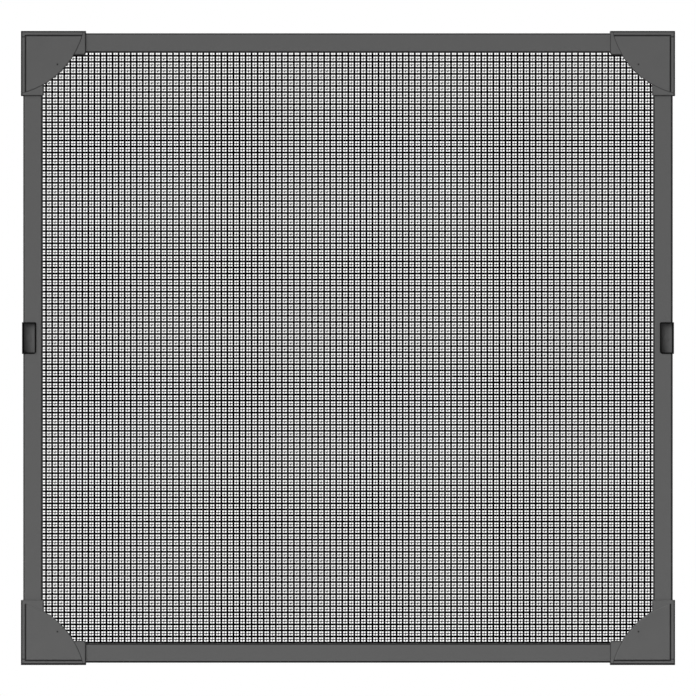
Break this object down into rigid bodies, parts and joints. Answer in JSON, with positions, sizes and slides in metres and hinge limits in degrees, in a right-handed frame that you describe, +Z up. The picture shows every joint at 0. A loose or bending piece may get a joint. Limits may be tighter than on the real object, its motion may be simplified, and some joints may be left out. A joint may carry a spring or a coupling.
{
  "type": "window screen",
  "caption": "Flat window screen: hollow grey bars sleeved into moulded corners with curved webs, a dark woven cloth held by cord in a groove at the back, and dished finger pulls.",
  "frame": {"origin": "centre of the whole screen", "axes": "+X across the screen, to the right as seen from its front; +Y from its front face to its back; +Z up"},
  "size_m": [0.686, 0.0126, 0.665],
  "materials": {
    "bar": "grey powder coat",
    "corner": "fine moulded grain",
    "cord": "dull",
    "pull": "satin",
    "cloth": "coated strands"
  },
  "bodies": {
    "root": {"top_bar": "bar", "bottom_bar": "bar", "left_bar": "bar", "right_bar": "bar", "top_left_corner": "corner", "top_right_corner": "corner", "bottom_left_corner": "corner", "bottom_right_corner": "corner", "top_cord": "cord", "bottom_cord": "cord", "left_cord": "cord", "right_cord": "cord", "left_finger_pull": "pull", "right_finger_pull": "pull", "screen_cloth": "cloth"}
  },
  "joints": []
}
